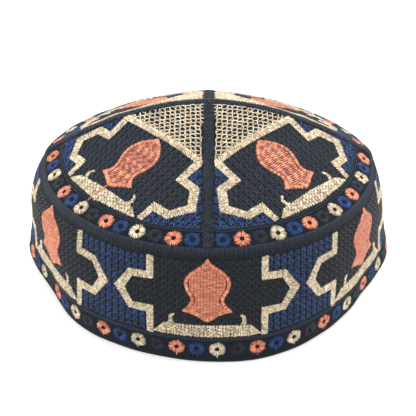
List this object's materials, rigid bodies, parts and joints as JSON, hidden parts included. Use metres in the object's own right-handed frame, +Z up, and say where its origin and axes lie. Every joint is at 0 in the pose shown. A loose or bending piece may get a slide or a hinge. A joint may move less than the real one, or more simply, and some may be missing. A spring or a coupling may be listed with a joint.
{
  "type": "kufi",
  "caption": "Kufi: a shallow round cap of stiff black cloth with a crown of gores, a ribbed rim roll and an upright band, embroidered all over, standing open on its hem",
  "frame": {"origin": "On the plane of the hem, straight below the crossing of the crown's strips, which is the middle of the cap's box to within 0.6 mm", "axes": "+Z up through the crown, -Y to the front strip of the crown, +X along the crown's crease, to the viewer's right when the front is seen"},
  "size_m": [0.2044, 0.1868, 0.0913],
  "materials": {
    "band_cloth": "matte",
    "roll_thread": "matte",
    "gore_cloth": "matte",
    "strip_cloth": "matte",
    "cream_thread": "satin",
    "coral_thread": "satin",
    "navy_thread": "satin",
    "black_thread": "satin"
  },
  "bodies": {
    "root": {"side_band": "band_cloth", "rim_roll": "roll_thread", "crown_gore_front_left": "gore_cloth", "crown_gore_front_right": "gore_cloth", "crown_gore_rear_left": "gore_cloth", "crown_gore_rear_right": "gore_cloth", "ridge_strip": "strip_cloth", "front_strip": "strip_cloth", "rear_strip": "strip_cloth"}
  },
  "joints": []
}
